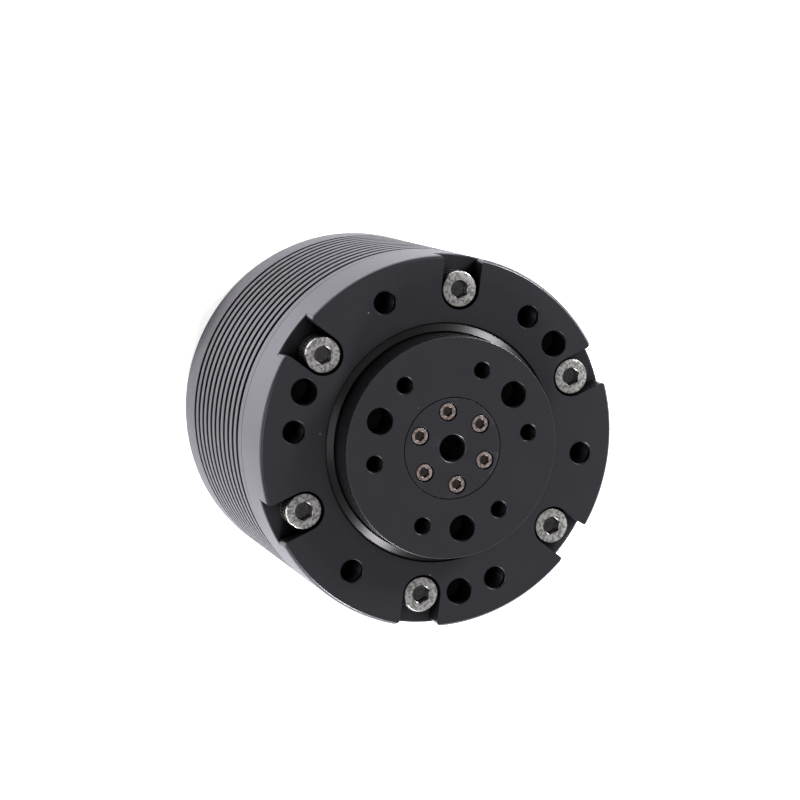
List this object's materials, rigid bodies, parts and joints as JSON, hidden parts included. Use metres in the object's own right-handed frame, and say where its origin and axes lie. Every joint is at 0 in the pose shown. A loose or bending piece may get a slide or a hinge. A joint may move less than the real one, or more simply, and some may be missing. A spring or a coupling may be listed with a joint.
{
  "type": "robot joint actuator",
  "caption": "Finned cylindrical joint actuator whose bolted output flange turns on a crossed roller bearing, driven by a motor through planetary gears",
  "frame": {"origin": "centre of the rear cover's outer face, on the output axis, where the actuator stands", "axes": "+Z runs along the output axis from the rear cover to the output boss; +X runs through one flange dowel hole and one output dowel hole"},
  "size_m": [0.056, 0.056, 0.0473],
  "materials": {
    "front_housing": "black satin anodised aluminium face, lavender-grey outer band",
    "finned_housing": "lavender-grey satin anodised aluminium",
    "output_flange": "black satin anodised aluminium",
    "centre_cap": "black satin anodised aluminium",
    "screw_nickel": "satin nickel-plated steel",
    "bearing_steel": "ground bearing steel",
    "gear_steel": "cut alloy steel, oiled",
    "turned_steel": "turned stainless steel",
    "seal_rubber": "black nitrile rubber",
    "carrier_aluminium": "machined aluminium",
    "electrical_steel": "laminated electrical steel",
    "magnet": "nickel-coated sintered magnet",
    "copper": "enamelled copper wire",
    "cage_plastic": "glass-filled polyamide",
    "board_green": "solder-masked fibreglass",
    "chip_black": "moulded epoxy",
    "contact_brass": "tinned brass",
    "socket_plastic": "black nylon",
    "rear_cover": "lavender-grey satin anodised aluminium"
  },
  "bodies": {
    "housing": {"front_housing": "front_housing", "flange_screws": "screw_nickel", "seal_case": "turned_steel", "seal_lip": "seal_rubber", "finned_housing": "finned_housing", "ring_gear": "gear_steel", "output_bearing_outer_ring": "bearing_steel", "front_bearing_outer_ring": "bearing_steel", "rear_bearing_outer_ring": "bearing_steel", "stator_core": "electrical_steel", "stator_windings": "copper", "phase_leads": "copper", "motor_end_plate": "carrier_aluminium", "end_plate_screws": "screw_nickel", "driver_board": "board_green", "board_standoffs": "contact_brass", "board_screws": "screw_nickel", "power_transistors": "chip_black", "control_chips": "chip_black", "encoder_chip": "chip_black", "power_socket": "socket_plastic", "signal_socket": "socket_plastic", "socket_contacts": "contact_brass", "rear_cover": "rear_cover", "rear_cover_screws": "screw_nickel"},
    "output": {"output_flange": "output_flange", "centre_cap": "centre_cap", "cap_screws": "screw_nickel", "output_bearing_inner_ring": "bearing_steel", "carrier_plate": "carrier_aluminium", "carrier_plate_screws": "screw_nickel", "second_stage_pins": "bearing_steel"},
    "roller_set": {"output_bearing_rollers": "bearing_steel", "output_bearing_cage": "cage_plastic"},
    "intermediate": {"first_stage_carrier": "carrier_aluminium", "first_stage_pins": "bearing_steel", "second_sun_gear": "gear_steel"},
    "rotor": {"rotor_hub": "carrier_aluminium", "rotor_back_iron": "electrical_steel", "rotor_magnets": "magnet", "first_sun_gear": "gear_steel", "encoder_magnet": "magnet", "front_bearing_inner_ring": "bearing_steel", "rear_bearing_inner_ring": "bearing_steel"},
    "front_ball_set": {"front_bearing_balls": "bearing_steel", "front_bearing_cage": "cage_plastic"},
    "rear_ball_set": {"rear_bearing_balls": "bearing_steel", "rear_bearing_cage": "cage_plastic"},
    "first_planet_gear_a": {"first_planet_a": "gear_steel"},
    "first_planet_gear_b": {"first_planet_b": "gear_steel"},
    "first_planet_gear_c": {"first_planet_c": "gear_steel"},
    "second_planet_gear_a": {"second_planet_a": "gear_steel"},
    "second_planet_gear_b": {"second_planet_b": "gear_steel"},
    "second_planet_gear_c": {"second_planet_c": "gear_steel"}
  },
  "joints": [
    {"name": "output_spin", "type": "hinge", "parent": "housing", "child": "output", "pos_m": [0, 0, 0.0473], "axis": [0, 0, 1], "continuous": true},
    {"name": "roller_set_spin", "type": "hinge", "parent": "housing", "child": "roller_set", "pos_m": [0, 0, 0.0357], "axis": [0, 0, 1], "continuous": true},
    {"name": "intermediate_spin", "type": "hinge", "parent": "housing", "child": "intermediate", "pos_m": [0, 0, 0.0276], "axis": [0, 0, 1], "continuous": true},
    {"name": "rotor_spin", "type": "hinge", "parent": "housing", "child": "rotor", "pos_m": [0, 0, 0.015], "axis": [0, 0, 1], "continuous": true},
    {"name": "front_ball_set_spin", "type": "hinge", "parent": "housing", "child": "front_ball_set", "pos_m": [0, 0, 0.0199], "axis": [0, 0, 1], "continuous": true},
    {"name": "rear_ball_set_spin", "type": "hinge", "parent": "housing", "child": "rear_ball_set", "pos_m": [0, 0, 0.0099], "axis": [0, 0, 1], "continuous": true},
    {"name": "first_planet_a_spin", "type": "hinge", "parent": "intermediate", "child": "first_planet_gear_a", "pos_m": [0.0126, 0, 0.0244], "axis": [0, 0, 1], "continuous": true},
    {"name": "second_planet_a_spin", "type": "hinge", "parent": "output", "child": "second_planet_gear_a", "pos_m": [0.0135, 0, 0.0299], "axis": [0, 0, 1], "continuous": true},
    {"name": "first_planet_b_spin", "type": "hinge", "parent": "intermediate", "child": "first_planet_gear_b", "pos_m": [-0.0063, 0.01091, 0.0244], "axis": [0, 0, 1], "continuous": true},
    {"name": "second_planet_b_spin", "type": "hinge", "parent": "output", "child": "second_planet_gear_b", "pos_m": [-0.00675, 0.01169, 0.0299], "axis": [0, 0, 1], "continuous": true},
    {"name": "first_planet_c_spin", "type": "hinge", "parent": "intermediate", "child": "first_planet_gear_c", "pos_m": [-0.0063, -0.01091, 0.0244], "axis": [0, 0, 1], "continuous": true},
    {"name": "second_planet_c_spin", "type": "hinge", "parent": "output", "child": "second_planet_gear_c", "pos_m": [-0.00675, -0.01169, 0.0299], "axis": [0, 0, 1], "continuous": true}
  ],
  "couplings": [
    {"joint": "roller_set_spin", "follows": "output_spin", "ratio": 0.48063},
    {"joint": "intermediate_spin", "follows": "output_spin", "ratio": 3},
    {"joint": "rotor_spin", "follows": "output_spin", "ratio": 10.5},
    {"joint": "front_ball_set_spin", "follows": "output_spin", "ratio": 4.578},
    {"joint": "rear_ball_set_spin", "follows": "output_spin", "ratio": 4.578},
    {"joint": "first_planet_a_spin", "follows": "output_spin", "ratio": -10},
    {"joint": "second_planet_a_spin", "follows": "output_spin", "ratio": -4},
    {"joint": "first_planet_b_spin", "follows": "output_spin", "ratio": -10},
    {"joint": "second_planet_b_spin", "follows": "output_spin", "ratio": -4},
    {"joint": "first_planet_c_spin", "follows": "output_spin", "ratio": -10},
    {"joint": "second_planet_c_spin", "follows": "output_spin", "ratio": -4}
  ]
}
